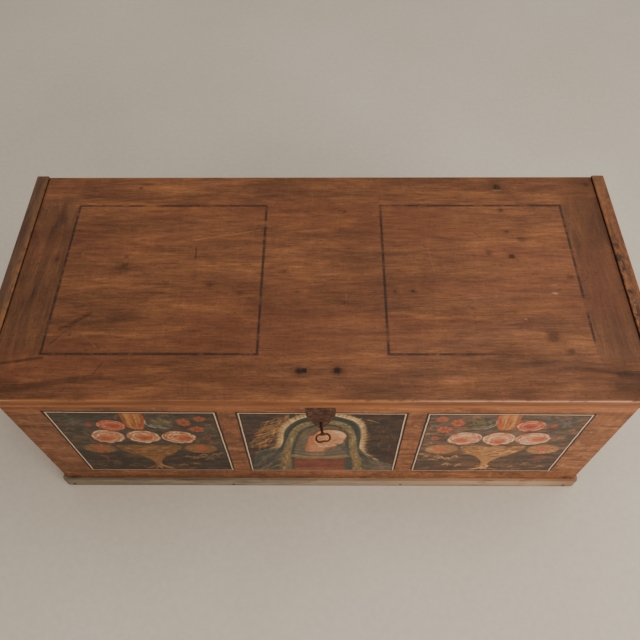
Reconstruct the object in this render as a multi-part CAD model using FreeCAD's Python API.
import FreeCAD, Part
import math
import os

# A painted softwood chest for blankets, with a flat lid on two strap hinges and an open iron lock
# X runs along the width, Y from the front to the back, Z up from the floor, all in millimetres
# The origin is the centre of the body's footprint on the floor

V = FreeCAD.Vector
X_AXIS = V(1, 0, 0)
Y_AXIS = V(0, 1, 0)
Z_AXIS = V(0, 0, 1)
FRONT = V(0, -1, 0)
DOWN = V(0, 0, -1)

# Body of the chest
body_width = 1306.0
body_depth = 600.0
body_top = 463.0
wall = 24.0
bottom_thickness = 20.0
bottom_gap = 0.6
bottom_board_count = 3

# Dovetails at the corners
tail_count = 6
tail_width = 50.0
tail_slope_share = 0.16
joint_clear = 0.15

# Tongues and grooves between planks
tongue_thickness = 7.0
tongue_height = 7.0
tongue_clear = 0.3
tails_under_wall_seam_count = 3
tails_under_end_seam_count = 3

# Base moulding
moulding_height = 22.8
moulding_depth = 13.4
moulding_round = 8.0
moulding_toe = 2.0
moulding_corner = 22.0
moulding_nail_shares = (-0.486, -0.17, 0.16, 0.481)
moulding_end_nail_shares = (-0.44, 0.0, 0.44)

# Lid
lid_thickness = 30.5
lid_front_overhang = 10.0
lid_back_overhang = 1.0
lid_plank_count = 3
lid_nose_round = 5.0
lid_toe_round = 2.0

# Battens over the ends of the lid
batten_gap = 16.4
batten_width = 30.6
batten_rise = 5.7
batten_drop = 22.0
batten_shadow_gap = 0.8
batten_outer_round = 4.5
batten_inner_round = 2.5
batten_tongue_thickness = 10.0
batten_tongue_length = 13.0
batten_groove_clear = 0.4
peg_width = 9.0
peg_length = 52.0
peg_sides = 8
peg_shares = (-0.42, -0.14, 0.14, 0.42)

# Forged nails
nail_shank = 4.4
nail_head = 11.0
nail_dome = 2.2
nail_length = 46.0
short_nail_length = 19.0
clench_width = 10.0
clench_depth = 3.0
sprig_shank = 2.6
sprig_head = 6.5
sprig_dome = 1.5
sprig_length = 18.0
nail_top_share = 0.35
nail_tip_share = 0.4

# Strap hinges
hinge_inset = 216.0
strap_width = 36.0
strap_neck = 22.0
strap_thickness = 2.5
strap_length = 285.0
strap_disc = 16.0
strap_point = 16.0
strap_clear = 0.3
strap_nail_shares = (0.16, 0.42, 0.68, 1.0)
leaf_length = 170.0
leaf_nail_shares = (0.22, 0.6, 1.0)
knuckle_wall = 2.65
knuckle_back_gap = 0.4
knuckle_side_gap = 0.3
middle_knuckle = 12.0
hinge_pin_radius = 2.8
hinge_pin_clear = 0.05
pin_head_radius = 4.6
pin_head_length = 2.6

# Till at the left end
till_width = 150.0
till_height = 120.0
till_board = 12.0
till_drop = 8.0
housing_depth = 6.0

# Lock plate inside the front
lock_offset = 6.0
key_drop = 90.0
lock_plate_width = 150.0
lock_plate_height = 115.0
lock_plate_drop = 7.0
lock_plate_corner = 14.0
lock_plate_thickness = 2.5
lock_nail_inset_x = 9.0
lock_nail_inset_z = 22.0
flange_depth = 24.0
flange_width = 116.0

# Bolt and the notch that the key's bit runs through
bolt_thickness = 5.6
bolt_standoff = 5.1
bolt_length = 100.0
bolt_tail_left = 52.0
bolt_bar = 13.5
bolt_arm_width = 12.0
bolt_nose_height = 12.0
bolt_nose_rise = 48.0
bolt_nose_back = 5.5
bolt_throw = 14.0
bolt_nose_bevel = 3.0
bit_bite = 2.5
notch_clear = 0.45

# Guides, spring and key guard
guide_width = 8.0
guide_wall = 3.0
slide_clear = 0.25
guide_arm_gap = 1.0
guide_key_gap = 12.0
spring_thickness = 1.2
spring_side_gap = 3.5
spring_rise = 8.0
spring_gap = 0.3
spring_post_width = 9.0
spring_post_height = 7.0
guard_thickness = 2.5
guard_height = 14.0
guard_reach = 22.0
guard_clear = 6.5

# Catch under the lid
catch_width = 92.0
catch_depth = 48.0
catch_front_gap = 2.0
catch_corner = 10.0
catch_nail_spacing = 66.8
catch_nail_inset = 15.0
staple_thickness = 5.0
staple_front_gap = 1.4
staple_front_leg = 3.0
staple_back_leg = 3.5
staple_eye_clear = 0.7
staple_eye_slack = 1.0
staple_foot = 4.0
staple_slot_clear = 0.8

# Key
shank_radius = 3.0
neck_stand = 4.0
neck_length = 21.5
neck_lean = 3.4
neck_bend_radius = 20.0
collar_radius = 4.2
collar_length = 3.0
bow_lobe_radius = 8.3
bow_lobe_place = 6.3
bow_dent_radius = 14.0
bow_rod_radius = 2.1
bow_rod_sides = 8
bit_radius = 16.0
bit_thickness = 3.0
bit_gap = 1.5
bit_length = 14.0
ward_width = 2.2
ward_depth = 5.0
tip_radius = 2.6
tip_clear = 0.1
tip_proud = 1.5
keyhole_clear = 0.8

# Escutcheon on the front
escutcheon_width = 62.0
escutcheon_height = 119.0
escutcheon_drop = 5.0
escutcheon_thickness = 1.6
escutcheon_shoulder_share = 0.40
escutcheon_flank_share = 0.54
escutcheon_flank_height_share = 0.76
escutcheon_nail_shares = ((-0.42, 0.06), (0.42, 0.06), (-0.36, 0.46), (0.36, 0.46), (0.0, 0.90))

# One overrun for every cut that goes right through
overrun = 4.0

# Places that follow from the sizes
half_width = body_width / 2
half_depth = body_depth / 2
inner_end = half_width - wall
inner_face = half_depth - wall
lid_bottom = body_top
lid_top = body_top + lid_thickness
lid_front = -half_depth - lid_front_overhang
lid_back = half_depth + lid_back_overhang
batten_inner = half_width + batten_gap
batten_outer = batten_inner + batten_width
strap_under = body_top - strap_thickness
knuckle_radius = hinge_pin_radius + hinge_pin_clear + knuckle_wall
pivot_y = half_depth + knuckle_back_gap + knuckle_radius
pivot_z = body_top - knuckle_radius
hinge_x = half_width - hinge_inset
key_z = body_top - key_drop
plate_back = -inner_face
plate_face = plate_back + lock_plate_thickness
plate_top = body_top - lock_plate_drop
bolt_front = plate_face + bolt_standoff
bolt_back = bolt_front + bolt_thickness
bar_bottom = key_z + bit_radius - bit_bite
bar_top = bar_bottom + bolt_bar
nose_bottom = bar_bottom + bolt_nose_rise
nose_top = nose_bottom + bolt_nose_height
left_guide = guide_arm_gap + guide_width / 2 + bolt_arm_width + bolt_throw - bolt_tail_left
right_guide = bit_radius + guide_key_gap + guide_width / 2
spring_place = (left_guide + right_guide) / 2
spring_half_span = (right_guide - left_guide - guide_width) / 2 - spring_side_gap
guard_front = plate_face + guard_reach
guard_leg = bit_radius + guard_clear
bit_front = plate_face + bit_gap
bit_back = bit_front + bit_length


def block(x0, x1, y0, y1, z0, z1):
    """Box between two corners."""
    return Part.makeBox(x1 - x0, y1 - y0, z1 - z0, V(x0, y0, z0))


def prism(points, direction):
    """Polygon pushed along a direction."""
    return Part.Face(Part.makePolygon(points + points[:1])).extrude(direction)


def drawn(start, steps, direction):
    """Outline of lines and arcs pushed along a direction; a step is (end,) or (middle, end)."""
    edges = []
    here = start
    for step in steps:
        if len(step) == 1:
            edges.append(Part.LineSegment(here, step[0]).toShape())
        else:
            edges.append(Part.Arc(here, step[0], step[1]).toShape())
        here = step[-1]
    return Part.Face(Part.Wire(edges)).extrude(direction)


def tapered(low_side, high_side, low_z, high_z):
    """Square bar along Z that tapers from one side length to another."""
    rings = []
    for side, z in ((low_side, low_z), (high_side, high_z)):
        h = side / 2
        rings.append([V(-h, -h, z), V(h, -h, z), V(h, h, z), V(-h, h, z)])
    low, high = rings
    quads = [low[::-1], high]
    for i in range(len(low)):
        j = (i + 1) % len(low)
        quads.append([low[i], low[j], high[j], high[i]])
    faces = [Part.Face(Part.makePolygon(quad + quad[:1])) for quad in quads]
    return Part.makeSolid(Part.makeShell(faces))


def placed(shape, point, outward):
    """Copy of a shape drawn along Z, set at a point so that Z looks outward."""
    result = shape.copy()
    result.Placement = FreeCAD.Placement(point, FreeCAD.Rotation(Z_AXIS, outward))
    return result


def forged_nail(point, outward, length, shank, head, dome):
    """Nail with a faceted head on the surface and a tapered square shank below it."""
    shape = tapered(head, head * nail_top_share, 0, dome)
    shape = shape.fuse(tapered(shank * nail_tip_share, shank, -length, 0))
    return placed(shape, point, outward)


def clenched_nail(point, outward, through):
    """Nail that goes right through and is hammered flush into the far face."""
    shape = tapered(nail_head, nail_head * nail_top_share, 0, nail_dome)
    shape = shape.fuse(tapered(nail_shank, nail_shank, clench_depth - through, 0))
    shape = shape.fuse(tapered(clench_width, nail_shank, -through, clench_depth - through))
    return placed(shape, point, outward)


def flush_nail(point, outward, length):
    """Nail whose flat head lies level with the surface."""
    shape = tapered(nail_head, nail_head, -nail_dome, 0)
    shape = shape.fuse(tapered(nail_shank * nail_tip_share, nail_shank, -length, -nail_dome))
    return placed(shape, point, outward)


def faceted_bar(radius, direction):
    """Bar with flat sides that starts on the floor's plane and runs along the direction."""
    corners = []
    for i in range(peg_sides):
        angle = 2 * math.pi * (i + 0.5) / peg_sides
        corners.append(V(radius * math.cos(angle), radius * math.sin(angle), 0))
    return prism(corners, direction)


def peg(point, outward, length):
    """Whittled wooden peg with flat sides, driven in flush."""
    return placed(faceted_bar(peg_width / 2, DOWN * length), point, outward)


def tail_centres():
    """Heights of the middle of each dovetail."""
    pitch = (body_top - bottom_thickness) / tail_count
    return [bottom_thickness + pitch * (i + 0.5) for i in range(tail_count)]


def corner_tails(end, face, grow):
    """Dovetails of one end board at one corner; grow widens them for the sockets."""
    outer = face * half_depth
    inner = face * inner_face
    x = inner_end if end > 0 else -half_width
    result = []
    for z in tail_centres():
        wide = tail_width / 2 + grow
        narrow = wide - wall * tail_slope_share
        points = [V(x, outer, z - wide), V(x, outer, z + wide)]
        points += [V(x, inner, z + narrow), V(x, inner, z - narrow)]
        result.append(prism(points, X_AXIS * wall))
    return result


def split_plank(board, seam, tongue):
    """Cut one upright board in two planks; tongue gives the tongue's box for a clearance."""
    far = batten_outer
    low = block(-far, far, -far, far, 0, seam)
    high = block(-far, far, -far, far, seam, lid_top)
    lower = board.common(low.fuse(tongue(0)))
    upper = board.common(high).cut(tongue(tongue_clear))
    return lower, upper


def wall_board(face):
    """Front or back board with the sockets for the end boards' dovetails."""
    outer = face * half_depth
    inner = face * inner_face
    board = block(-half_width, half_width, min(outer, inner), max(outer, inner),
                  bottom_thickness, body_top)
    for end in (-1, 1):
        board = board.cut(Part.makeCompound(corner_tails(end, face, joint_clear)))
    seam = tail_centres()[tails_under_wall_seam_count]
    middle = (outer + inner) / 2

    def tongue(clear):
        half = tongue_thickness / 2 + clear
        return block(-batten_outer, batten_outer, middle - half, middle + half,
                     seam, seam + tongue_height + clear)

    return split_plank(board, seam, tongue)


def end_board(end):
    """Left or right board with its dovetails."""
    x0 = inner_end if end > 0 else -half_width
    board = block(x0, x0 + wall, -inner_face, inner_face, bottom_thickness, body_top)
    board = board.multiFuse(corner_tails(end, -1, 0) + corner_tails(end, 1, 0)).removeSplitter()
    centres = tail_centres()
    count = tails_under_end_seam_count
    seam = (centres[count - 1] + centres[count]) / 2
    middle = x0 + wall / 2

    def tongue(clear):
        half = tongue_thickness / 2 + clear
        return block(middle - half, middle + half, -batten_outer, batten_outer,
                     seam, seam + tongue_height + clear)

    return split_plank(board, seam, tongue)


def bottom_board(index):
    """One of the boards nailed under the body."""
    width = (body_depth - bottom_gap * (bottom_board_count - 1)) / bottom_board_count
    y = -half_depth + index * (width + bottom_gap)
    return block(-half_width, half_width, y, y + width, 0, bottom_thickness)


def bottom_nails():
    """Nails driven up through the bottom into the walls."""
    width = body_depth / bottom_board_count
    edge = wall / 2
    result = []
    for end in (-1, 1):
        for i in range(bottom_board_count):
            for share in (0.3, 0.7):
                point = V(end * (half_width - edge), -half_depth + width * (i + share), 0)
                result.append(flush_nail(point, DOWN, nail_length))
    for face in (-1, 1):
        for share in (-0.4, -0.2, 0, 0.2, 0.4):
            point = V(share * body_width, face * (half_depth - edge), 0)
            result.append(flush_nail(point, DOWN, nail_length))
    return result


def moulding_profile(turn):
    """Outline of the base moulding, drawn from the wall outward and turned into its plane."""
    d = moulding_depth
    h = moulding_height
    r = moulding_round
    t = moulding_toe
    cut = 1 - math.sqrt(0.5)
    start = turn(0, 0)
    steps = [(turn(d - t, 0),),
             (turn(d - t * cut, t * cut), turn(d, t)),
             (turn(d, h - r),),
             (turn(d - r * cut, h - r * cut), turn(d - r, h)),
             (turn(0, h),),
             (start,)]
    return start, steps


def moulding_footprint():
    """Upright block over the mouldings, rounded in plan at the two front corners."""
    x = half_width + moulding_depth
    y = -half_depth - moulding_depth
    back = half_depth + overrun
    r = moulding_corner
    cut = r * (1 - math.sqrt(0.5))
    start = V(-x, back, -overrun)
    steps = [(V(-x, y + r, -overrun),),
             (V(-x + cut, y + cut, -overrun), V(-x + r, y, -overrun)),
             (V(x - r, y, -overrun),),
             (V(x - cut, y + cut, -overrun), V(x, y + r, -overrun)),
             (V(x, back, -overrun),),
             (start,)]
    return drawn(start, steps, Z_AXIS * (moulding_height + overrun * 2))


def front_moulding():
    """Moulding along the front, mitred at both ends and rounded off at the corners."""
    reach = half_width + moulding_depth
    start, steps = moulding_profile(lambda d, z: V(-reach, -half_depth - d, z))
    shape = drawn(start, steps, X_AXIS * (reach * 2)).common(moulding_footprint())
    for end in (-1, 1):
        corner = V(end * half_width, -half_depth, -overrun)
        side = V(end * (reach + overrun), -half_depth, -overrun)
        tip = V(end * (reach + overrun), -half_depth - moulding_depth - overrun, -overrun)
        shape = shape.cut(prism([corner, side, tip], Z_AXIS * (moulding_height + overrun * 2)))
    return shape


def end_moulding(end):
    """Moulding along one end, mitred and rounded off at the front and square at the back."""
    front = -half_depth - moulding_depth
    start, steps = moulding_profile(lambda d, z: V(end * (half_width + d), front, z))
    shape = drawn(start, steps, Y_AXIS * (half_depth - front)).common(moulding_footprint())
    corner = V(end * half_width, -half_depth, -overrun)
    inner = V(end * half_width, front - overrun, -overrun)
    tip = V(end * (half_width + moulding_depth + overrun), front - overrun, -overrun)
    return shape.cut(prism([corner, inner, tip], Z_AXIS * (moulding_height + overrun * 2)))


def moulding_nails():
    """Nails of the base moulding."""
    z = bottom_thickness / 2
    result = []
    for share in moulding_nail_shares:
        point = V(share * body_width, -half_depth - moulding_depth, z)
        result.append(forged_nail(point, FRONT, nail_length, sprig_shank, sprig_head, sprig_dome))
    for end in (-1, 1):
        for share in moulding_end_nail_shares:
            point = V(end * (half_width + moulding_depth), share * body_depth, z)
            result.append(forged_nail(point, X_AXIS * end, nail_length,
                                      sprig_shank, sprig_head, sprig_dome))
    return result


def lid_plank(index):
    """One plank of the lid with its tongue, its groove and the tongues at its ends."""
    depth = (lid_back - lid_front) / lid_plank_count
    y0 = lid_front + depth * index
    y1 = y0 + depth
    first = index == 0
    last = index == lid_plank_count - 1
    shoulder = batten_inner - batten_shadow_gap
    tip = batten_inner + batten_tongue_length
    middle = (lid_bottom + lid_top) / 2
    shape = block(-shoulder, shoulder, y0, y1, lid_bottom, lid_top)
    if first:
        nose = lid_nose_round
        toe = lid_toe_round
        cut = 1 - math.sqrt(0.5)
        x = -shoulder
        start = V(x, y1, lid_bottom)
        steps = [(V(x, y1, lid_top),),
                 (V(x, y0 + nose, lid_top),),
                 (V(x, y0 + nose * cut, lid_top - nose * cut), V(x, y0, lid_top - nose)),
                 (V(x, y0, lid_bottom + toe),),
                 (V(x, y0 + toe * cut, lid_bottom + toe * cut), V(x, y0 + toe, lid_bottom)),
                 (start,)]
        shape = drawn(start, steps, X_AXIS * (shoulder * 2))
    half = batten_tongue_thickness / 2
    shape = shape.fuse(block(-tip, tip, y0, y1, middle - half, middle + half))
    half = tongue_thickness / 2
    if not last:
        shape = shape.fuse(block(-shoulder, shoulder, y1, y1 + tongue_height,
                                 middle - half, middle + half))
    if not first:
        half += tongue_clear
        shape = shape.cut(block(-shoulder - overrun, shoulder + overrun,
                                y0, y0 + tongue_height + tongue_clear,
                                middle - half, middle + half))
    return shape.removeSplitter()


def batten(end):
    """Batten over one end of the lid, grooved for the planks' tongues."""
    inner = end * batten_inner
    outer = end * batten_outer
    low = lid_bottom - batten_drop
    high = lid_top + batten_rise
    cut = 1 - math.sqrt(0.5)
    a = batten_inner_round * end
    b = batten_outer_round * end
    y = lid_front
    start = V(inner, y, low)
    steps = [(V(inner, y, high - abs(a)),),
             (V(inner + a * cut, y, high - abs(a) * cut), V(inner + a, y, high)),
             (V(outer - b, y, high),),
             (V(outer - b * cut, y, high - abs(b) * cut), V(outer, y, high - abs(b))),
             (V(outer, y, low),),
             (start,)]
    shape = drawn(start, steps, Y_AXIS * (lid_back - lid_front))
    middle = (lid_bottom + lid_top) / 2
    half = batten_tongue_thickness / 2 + batten_groove_clear / 2
    depth = batten_tongue_length + batten_groove_clear
    return shape.cut(block(min(inner, inner + end * depth), max(inner, inner + end * depth),
                           lid_front - overrun, lid_back + overrun,
                           middle - half, middle + half))


def batten_pegs():
    """Wooden pegs through the battens into the planks' ends."""
    middle = (lid_bottom + lid_top) / 2
    centre = (lid_front + lid_back) / 2
    result = []
    for end in (-1, 1):
        for share in peg_shares:
            point = V(end * batten_outer, centre + share * (lid_back - lid_front), middle)
            result.append(peg(point, X_AXIS * end, peg_length))
    return result


def strap_outline(length, root, neck, disc, point, turn, thickness):
    """Wrought strap that narrows to a neck and ends in a disc with a small point."""
    half_root = root / 2
    half_neck = neck / 2
    reach = math.sqrt(disc * disc - half_neck * half_neck)
    centre = length - point - disc
    tip_half = disc / 2
    tip_reach = math.sqrt(disc * disc - tip_half * tip_half)
    start = turn(-half_root, 0)
    steps = [(turn(-half_neck, centre - reach),),
             (turn(-disc, centre), turn(-tip_half, centre + tip_reach)),
             (turn(0, length),),
             (turn(tip_half, centre + tip_reach),),
             (turn(disc, centre), turn(half_neck, centre - reach)),
             (turn(half_root, 0),),
             (start,)]
    return drawn(start, steps, thickness)


def barrel(x, half_length, radius):
    """Round bar along X on the lid's pivot."""
    return Part.makeCylinder(radius, half_length * 2, V(x - half_length, pivot_y, pivot_z), X_AXIS)


def lid_strap(x):
    """Strap under the lid with the two outer knuckles."""
    shape = strap_outline(strap_length, strap_width, strap_neck, strap_disc, strap_point,
                          lambda a, b: V(x + a, pivot_y - b, strap_under),
                          Z_AXIS * strap_thickness)
    half = strap_width / 2
    shape = shape.fuse(barrel(x, half, knuckle_radius))
    gap = middle_knuckle / 2 + knuckle_side_gap
    clear = pivot_y - knuckle_radius - knuckle_back_gap
    shape = shape.cut(block(x - gap, x + gap, clear, pivot_y + knuckle_radius + overrun,
                            pivot_z - knuckle_radius - overrun, body_top + overrun))
    return shape.cut(barrel(x, half + overrun, hinge_pin_radius + hinge_pin_clear))


def back_leaf(x):
    """Leaf on the back of the chest with the middle knuckle."""
    shape = strap_outline(leaf_length, strap_width, strap_neck, strap_disc, strap_point,
                          lambda a, b: V(x + a, half_depth, pivot_z - b),
                          Y_AXIS * strap_thickness)
    half = middle_knuckle / 2
    low = pivot_z - knuckle_radius - knuckle_back_gap
    for side in (-1, 1):
        x0 = x + side * half
        x1 = x + side * (strap_width / 2 + overrun)
        shape = shape.cut(block(min(x0, x1), max(x0, x1), half_depth - overrun,
                                half_depth + strap_thickness + overrun, low, body_top))
    shape = shape.fuse(barrel(x, half, knuckle_radius))
    return shape.cut(barrel(x, half + overrun, hinge_pin_radius + hinge_pin_clear))


def hinge_pin(x):
    """Pin through one hinge, with a hammered head at each end."""
    half = strap_width / 2 + knuckle_side_gap
    shape = barrel(x, half, hinge_pin_radius)
    for side in (-1, 1):
        head = faceted_bar(pin_head_radius, DOWN * pin_head_length)
        outer = V(x + side * (half + pin_head_length), pivot_y, pivot_z)
        shape = shape.fuse(placed(head, outer, X_AXIS * side))
    return shape


def strap_nails():
    """Nails of the lid's straps; the first and the last go through and are clenched on top."""
    result = []
    reach = strap_length - strap_point - strap_disc
    ends = (strap_nail_shares[0], strap_nail_shares[-1])
    for x in (-hinge_x, hinge_x):
        for share in strap_nail_shares:
            point = V(x, pivot_y - reach * share, strap_under)
            if share in ends:
                result.append(clenched_nail(point, DOWN, strap_thickness + lid_thickness))
            else:
                result.append(forged_nail(point, DOWN, short_nail_length,
                                          nail_shank, nail_head, nail_dome))
    return result


def leaf_nails():
    """Nails of the back leaves."""
    result = []
    reach = leaf_length - strap_point - strap_disc
    for x in (-hinge_x, hinge_x):
        for share in leaf_nail_shares:
            point = V(x, half_depth + strap_thickness, pivot_z - reach * share)
            result.append(forged_nail(point, Y_AXIS, short_nail_length,
                                      nail_shank, nail_head, nail_dome))
    return result


def strap_notches():
    """Notches in the back board's top edge, where the straps pass over it."""
    half = strap_width / 2 + strap_clear
    result = []
    for x in (-hinge_x, hinge_x):
        result.append(block(x - half, x + half, inner_face - overrun, half_depth + overrun,
                            strap_under - strap_clear, body_top + overrun))
    return result


def till_wall():
    """Upright board of the till, let into the front and the back."""
    x = -inner_end + till_width
    reach = inner_face + housing_depth
    top = body_top - till_drop
    return block(x, x + till_board, -reach, reach, top - till_height, top)


def till_floor():
    """Floor of the till, let into the front, the back and the left end."""
    x = -inner_end + till_width
    reach = inner_face + housing_depth
    low = body_top - till_drop - till_height
    return block(-inner_end - housing_depth, x, -reach, reach, low, low + till_board)


def till_housings():
    """Grooves for the till; the upright ones run out at the top edge."""
    x = -inner_end + till_width
    reach = inner_face + housing_depth
    low = body_top - till_drop - till_height
    return [block(x, x + till_board, -reach, reach, low, body_top + overrun),
            block(-inner_end - housing_depth, x, -reach, reach, low, low + till_board)]


def keyhole(clear, y0, y1):
    """Keyhole with its slot below, cut from one depth to another."""
    x = lock_offset
    round_hole = Part.makeCylinder(shank_radius + clear, y1 - y0, V(x, y0, key_z), Y_AXIS)
    half = bit_thickness / 2 + clear
    return round_hole.fuse(block(x - half, x + half, y0, y1, key_z - bit_radius - clear, key_z))


def escutcheon():
    """Shield-shaped plate round the keyhole."""
    x = lock_offset
    y = -half_depth
    h = escutcheon_height
    half = escutcheon_width / 2
    top = body_top - escutcheon_drop
    shoulder = top - h * escutcheon_shoulder_share
    flank = top - h * escutcheon_flank_height_share
    flank_x = half * escutcheon_flank_share
    tip = V(x, y, top - h)
    start = V(x - half, y, top)
    steps = [(V(x - half, y, shoulder),),
             (V(x - flank_x, y, flank), tip),
             (V(x + flank_x, y, flank), V(x + half, y, shoulder)),
             (V(x + half, y, top),),
             (start,)]
    shape = drawn(start, steps, FRONT * escutcheon_thickness)
    return shape.cut(keyhole(keyhole_clear, y - escutcheon_thickness - overrun, y + overrun))


def escutcheon_nails():
    """Small nails of the escutcheon."""
    top = body_top - escutcheon_drop
    result = []
    for across, down in escutcheon_nail_shares:
        point = V(lock_offset + across * escutcheon_width, -half_depth - escutcheon_thickness,
                  top - down * escutcheon_height)
        result.append(forged_nail(point, FRONT, sprig_length, sprig_shank, sprig_head, sprig_dome))
    return result


def staple_depths():
    """Front and back of the staple and of its eye, seen from the end."""
    front = plate_face + staple_front_gap
    eye_front = front + staple_front_leg
    eye_back = eye_front + bolt_thickness + staple_eye_clear * 2
    return front, eye_front, eye_back, eye_back + staple_back_leg


def lock_plate():
    """Plate of the lock with clipped lower corners and a flange along its top."""
    x = lock_offset
    half = lock_plate_width / 2
    low = plate_top - lock_plate_height
    c = lock_plate_corner
    y = plate_back
    cut = 1 - math.sqrt(0.5)
    start = V(x - half, y, plate_top)
    steps = [(V(x - half, y, low + c),),
             (V(x - half + c * (1 - cut), y, low + c * (1 - cut)), V(x - half + c, y, low)),
             (V(x + half - c, y, low),),
             (V(x + half - c * (1 - cut), y, low + c * (1 - cut)), V(x + half, y, low + c)),
             (V(x + half, y, plate_top),),
             (start,)]
    shape = drawn(start, steps, Y_AXIS * lock_plate_thickness)
    half = flange_width / 2
    shape = shape.fuse(block(x - half, x + half, plate_back, plate_face + flange_depth,
                             plate_top - lock_plate_thickness, plate_top))
    half = staple_thickness / 2 + staple_slot_clear
    back = staple_depths()[3] + staple_slot_clear
    shape = shape.cut(block(x - half, x + half, plate_face, back,
                            plate_top - lock_plate_thickness - overrun, plate_top + overrun))
    return shape.cut(keyhole(keyhole_clear, plate_back - overrun, plate_face + overrun))


def lock_nails():
    """Nails at the corners of the lock plate."""
    result = []
    across = lock_plate_width / 2 - lock_nail_inset_x
    for side in (-1, 1):
        for z in (plate_top - lock_nail_inset_z,
                  plate_top - lock_plate_height + lock_nail_inset_z):
            point = V(lock_offset + side * across, plate_face, z)
            result.append(forged_nail(point, Y_AXIS, short_nail_length,
                                      sprig_shank, nail_head, nail_dome))
    return result


def guide(x, low, high):
    """Closed guide that holds the bolt off the plate."""
    c = slide_clear
    w = guide_wall
    x0 = lock_offset + x - guide_width / 2
    x1 = x0 + guide_width
    ring = block(x0, x1, plate_face, bolt_back + c + w, low - c - w, high + c + w)
    return ring.cut(block(x0 - overrun, x1 + overrun, bolt_front - c, bolt_back + c,
                          low - c, high + c))


def lock_guides():
    """The three guides of the bolt."""
    return [guide(left_guide, bar_bottom, bar_top),
            guide(right_guide, bar_bottom, bar_top),
            guide(left_guide, nose_bottom, nose_top)]


def notch_half_width():
    """Half of the notch that lets the bit pass while key and bolt keep one steady ratio."""
    half = bit_thickness / 2
    radius = math.hypot(bit_radius, half)
    lean = math.atan(half / bit_radius)
    edge = math.acos((bit_radius - bit_bite) / radius)
    reach = radius * math.sin(edge)
    return reach - bolt_throw * (edge - lean) / math.pi + notch_clear


def bolt():
    """Bolt: a bar with a notch for the key, an arm and a nose that enters the staple."""
    x = lock_offset
    x0 = x - bolt_tail_left
    x1 = x0 + bolt_length
    y = bolt_front
    arm = x0 + bolt_arm_width
    nose = x - bolt_nose_back
    points = [V(x0, y, bar_bottom), V(x1, y, bar_bottom), V(x1, y, bar_top),
              V(arm, y, bar_top), V(arm, y, nose_bottom),
              V(nose - bolt_nose_bevel, y, nose_bottom), V(nose, y, nose_bottom + bolt_nose_bevel),
              V(nose, y, nose_top - bolt_nose_bevel), V(nose - bolt_nose_bevel, y, nose_top),
              V(x0, y, nose_top)]
    shape = prism(points, Y_AXIS * bolt_thickness)
    middle = x - bolt_throw / 2
    half = notch_half_width()
    return shape.cut(block(middle - half, middle + half,
                           y - overrun, y + bolt_thickness + overrun,
                           bar_bottom - overrun, bar_bottom + bit_bite + notch_clear))


def spring_strip(extra):
    """Bowed strip over the bolt's bar; extra thickens it on its outer side."""
    x = lock_offset + spring_place
    s = spring_half_span
    y = bolt_front
    z = bar_top + spring_gap
    t = spring_thickness + extra
    start = V(x - s, y, z)
    steps = [(V(x, y, z + spring_rise), V(x + s, y, z)),
             (V(x + s, y, z + t),),
             (V(x, y, z + spring_rise + t), V(x - s, y, z + t)),
             (start,)]
    return drawn(start, steps, Y_AXIS * bolt_thickness)


def spring_post():
    """Block riveted to the plate that holds the spring's crown."""
    x = lock_offset + spring_place
    z = bar_top + spring_gap + spring_rise
    half = spring_post_width / 2
    shape = block(x - half, x + half, plate_face, bolt_back, z, z + spring_post_height)
    return shape.cut(spring_strip(0))


def key_guard():
    """Bridge over the key's bit, with the hole that carries the key's tip."""
    x = lock_offset
    half = guard_height / 2
    outer = guard_leg + guard_thickness
    back = guard_front + guard_thickness
    shape = block(x - outer, x + outer, plate_face, back, key_z - half, key_z + half)
    shape = shape.cut(block(x - guard_leg, x + guard_leg, plate_face - overrun, guard_front,
                            key_z - half - overrun, key_z + half + overrun))
    return shape.cut(Part.makeCylinder(tip_radius + tip_clear, guard_thickness + overrun * 2,
                                       V(x, guard_front - overrun, key_z), Y_AXIS))


def bow(x, y):
    """Kidney bow of the key: four bent lengths of hammered rod that run into each other."""
    a = bow_lobe_place
    r = bow_lobe_radius
    d = bow_dent_radius
    k = math.sqrt((r + d) ** 2 - a * a)
    lean = math.degrees(math.atan2(k, a))
    lobe = 2 * lean
    dent = 180 - 2 * lean

    def bent(cx, cy, radius, start, sweep):
        angle = math.radians(start)
        out = V(math.cos(angle), math.sin(angle), 0)
        corners = []
        for i in range(bow_rod_sides):
            turn = 2 * math.pi * (i + 0.5) / bow_rod_sides
            corners.append(V(cx, cy, key_z) + out * (radius + bow_rod_radius * math.cos(turn))
                           + Z_AXIS * (bow_rod_radius * math.sin(turn)))
        section = Part.Face(Part.makePolygon(corners + corners[:1]))
        return section.revolve(V(cx, cy, key_z), Z_AXIS, sweep)

    parts = [bent(x + a, y, r, -180 + lean, 360 - lobe),
             bent(x, y + k, d, -180 + lean, dent),
             bent(x - a, y, r, lean, 360 - lobe),
             bent(x, y - k, d, lean, dent)]
    return parts[0].multiFuse(parts[1:])


def key_head():
    """Bow, collar and neck of the key, bent a little to the right in front of the plate."""
    x = lock_offset
    bend_y = -half_depth - neck_stand
    front = bend_y - neck_length
    dent = math.sqrt((bow_lobe_radius + bow_dent_radius) ** 2
                     - bow_lobe_place ** 2) - bow_dent_radius
    shape = bow(x, front - dent - bow_rod_radius / 2)
    shape = shape.fuse(Part.makeCylinder(shank_radius, neck_length, V(x, front, key_z), Y_AXIS))
    shape = shape.fuse(Part.makeCylinder(collar_radius, collar_length,
                                         V(x, front, key_z), Y_AXIS))
    lean = math.degrees(math.asin(neck_lean / neck_length))
    centre = V(x + neck_bend_radius, bend_y, key_z)
    shape.rotate(centre, Z_AXIS, lean)
    ring = Part.makeCircle(shank_radius, V(x, bend_y, key_z), Y_AXIS)
    return shape.fuse(Part.Face(Part.Wire(ring)).revolve(centre, Z_AXIS, lean))


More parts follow.
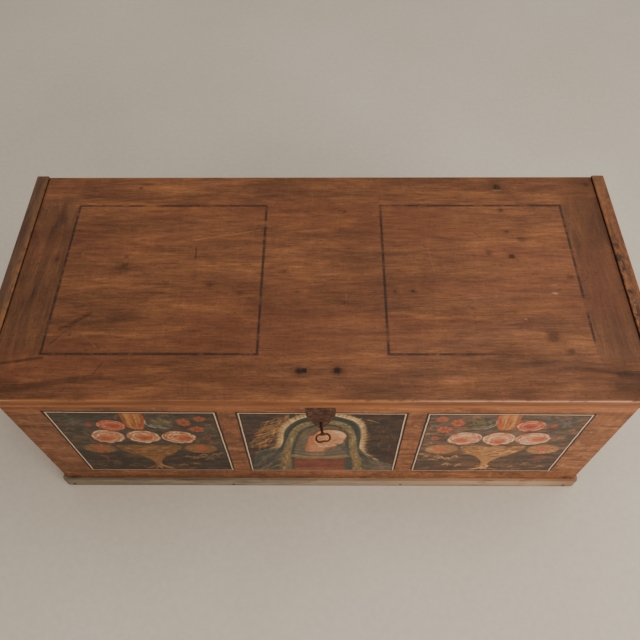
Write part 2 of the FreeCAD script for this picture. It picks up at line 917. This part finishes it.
def key():
    """Key with a kidney bow lying level, a bent neck, a shank and a bit that points left."""
    x = lock_offset
    bend_y = -half_depth - neck_stand
    shape = key_head().fuse(Part.makeCylinder(shank_radius, bit_back - bend_y,
                                              V(x, bend_y, key_z), Y_AXIS))
    tip_length = guard_front + guard_thickness + tip_proud - bit_back
    shape = shape.fuse(Part.makeCylinder(tip_radius, tip_length, V(x, bit_back, key_z), Y_AXIS))
    half = bit_thickness / 2
    shape = shape.fuse(block(x - bit_radius, x, bit_front, bit_back, key_z - half, key_z + half))
    slot_y = (bolt_back + bit_back) / 2
    return shape.cut(block(x - bit_radius - overrun, x - bit_radius + ward_depth,
                           slot_y - ward_width / 2, slot_y + ward_width / 2,
                           key_z - half - overrun, key_z + half + overrun))


def catch_staple():
    """Staple that hangs from the catch plate and takes the bolt's nose."""
    front, eye_front, eye_back, back = staple_depths()
    x = lock_offset - staple_thickness / 2
    eye_low = nose_bottom - staple_eye_slack
    eye_high = nose_top + staple_eye_slack
    low = eye_low - staple_foot
    cut = 1 - math.sqrt(0.5)
    c = staple_foot
    start = V(x, front, body_top)
    steps = [(V(x, front, low + c),),
             (V(x, front + c * cut, low + c * cut), V(x, front + c, low)),
             (V(x, back - c, low),),
             (V(x, back - c * cut, low + c * cut), V(x, back, low + c)),
             (V(x, back, body_top),),
             (start,)]
    shape = drawn(start, steps, X_AXIS * staple_thickness)
    return shape.cut(block(x - overrun, x + staple_thickness + overrun,
                           eye_front, eye_back, eye_low, eye_high))


def catch_plate():
    """Plate under the lid that carries the staple."""
    x = lock_offset
    half = catch_width / 2
    c = catch_corner
    front = plate_back + catch_front_gap
    back = front + catch_depth
    z = strap_under
    points = [V(x - half, front, z), V(x + half, front, z), V(x + half, back - c, z),
              V(x + half - c, back, z), V(x - half + c, back, z), V(x - half, back - c, z)]
    return prism(points, Z_AXIS * strap_thickness)


def catch_nails():
    """The two clenched nails of the catch plate."""
    y = plate_back + catch_front_gap + catch_depth - catch_nail_inset
    result = []
    for side in (-1, 1):
        point = V(lock_offset + side * catch_nail_spacing / 2, y, strap_under)
        result.append(clenched_nail(point, DOWN, strap_thickness + lid_thickness))
    return result


def build():
    """Every piece by its name."""
    fixings = {
        "bottom_nails": bottom_nails(),
        "moulding_nails": moulding_nails(),
        "batten_pegs": batten_pegs(),
        "strap_nails": strap_nails(),
        "leaf_nails": leaf_nails(),
        "escutcheon_nails": escutcheon_nails(),
        "lock_nails": lock_nails(),
        "catch_nails": catch_nails(),
    }

    def drilled(shape, *names):
        tools = []
        for name in names:
            tools += fixings[name]
        return shape.cut(Part.makeCompound(tools))

    pieces = {}
    hole = keyhole(keyhole_clear, -half_depth - overrun, plate_back + overrun)
    housings = Part.makeCompound(till_housings())
    notches = Part.makeCompound(strap_notches())
    walls = ("bottom_nails", "moulding_nails")
    for level, plank in zip(("lower", "upper"), wall_board(-1)):
        plank = plank.cut(hole).cut(housings)
        pieces["front_plank_" + level] = drilled(plank, "escutcheon_nails", "lock_nails", *walls)
    for level, plank in zip(("lower", "upper"), wall_board(1)):
        plank = plank.cut(notches).cut(housings)
        pieces["back_plank_" + level] = drilled(plank, "leaf_nails", *walls)
    for level, plank in zip(("lower", "upper"), end_board(-1)):
        pieces["left_plank_" + level] = drilled(plank.cut(housings), *walls)
    for level, plank in zip(("lower", "upper"), end_board(1)):
        pieces["right_plank_" + level] = drilled(plank, *walls)
    for index, place in enumerate(("front", "middle", "back")):
        pieces["bottom_board_" + place] = drilled(bottom_board(index), *walls)
        pieces["lid_plank_" + place] = drilled(lid_plank(index), "batten_pegs",
                                               "strap_nails", "catch_nails")
    pieces["moulding_front"] = drilled(front_moulding(), "moulding_nails")
    pieces["moulding_left"] = drilled(end_moulding(-1), "moulding_nails")
    pieces["moulding_right"] = drilled(end_moulding(1), "moulding_nails")
    pieces["till_wall"] = till_wall()
    pieces["till_floor"] = till_floor()
    pieces["batten_left"] = drilled(batten(-1), "batten_pegs")
    pieces["batten_right"] = drilled(batten(1), "batten_pegs")
    for side, x in (("left", -hinge_x), ("right", hinge_x)):
        pieces["lid_strap_" + side] = drilled(lid_strap(x), "strap_nails")
        pieces["back_leaf_" + side] = drilled(back_leaf(x), "leaf_nails")
    pieces["hinge_pins"] = Part.makeCompound([hinge_pin(-hinge_x), hinge_pin(hinge_x)])
    pieces["escutcheon"] = drilled(escutcheon(), "escutcheon_nails")
    pieces["lock_plate"] = drilled(lock_plate(), "lock_nails")
    pieces["lock_guides"] = Part.makeCompound(lock_guides())
    pieces["bolt"] = bolt()
    pieces["bolt_spring"] = spring_strip(0)
    pieces["spring_post"] = spring_post()
    pieces["key_guard"] = key_guard()
    pieces["key"] = key()
    pieces["catch_staple"] = catch_staple()
    pieces["catch_plate"] = drilled(catch_plate(), "catch_nails").cut(catch_staple())
    for name, solids in fixings.items():
        pieces[name] = Part.makeCompound(solids)
    return pieces


os.makedirs("parts", exist_ok=True)
for name, shape in build().items():
    shape.exportStep("parts/" + name + ".step")
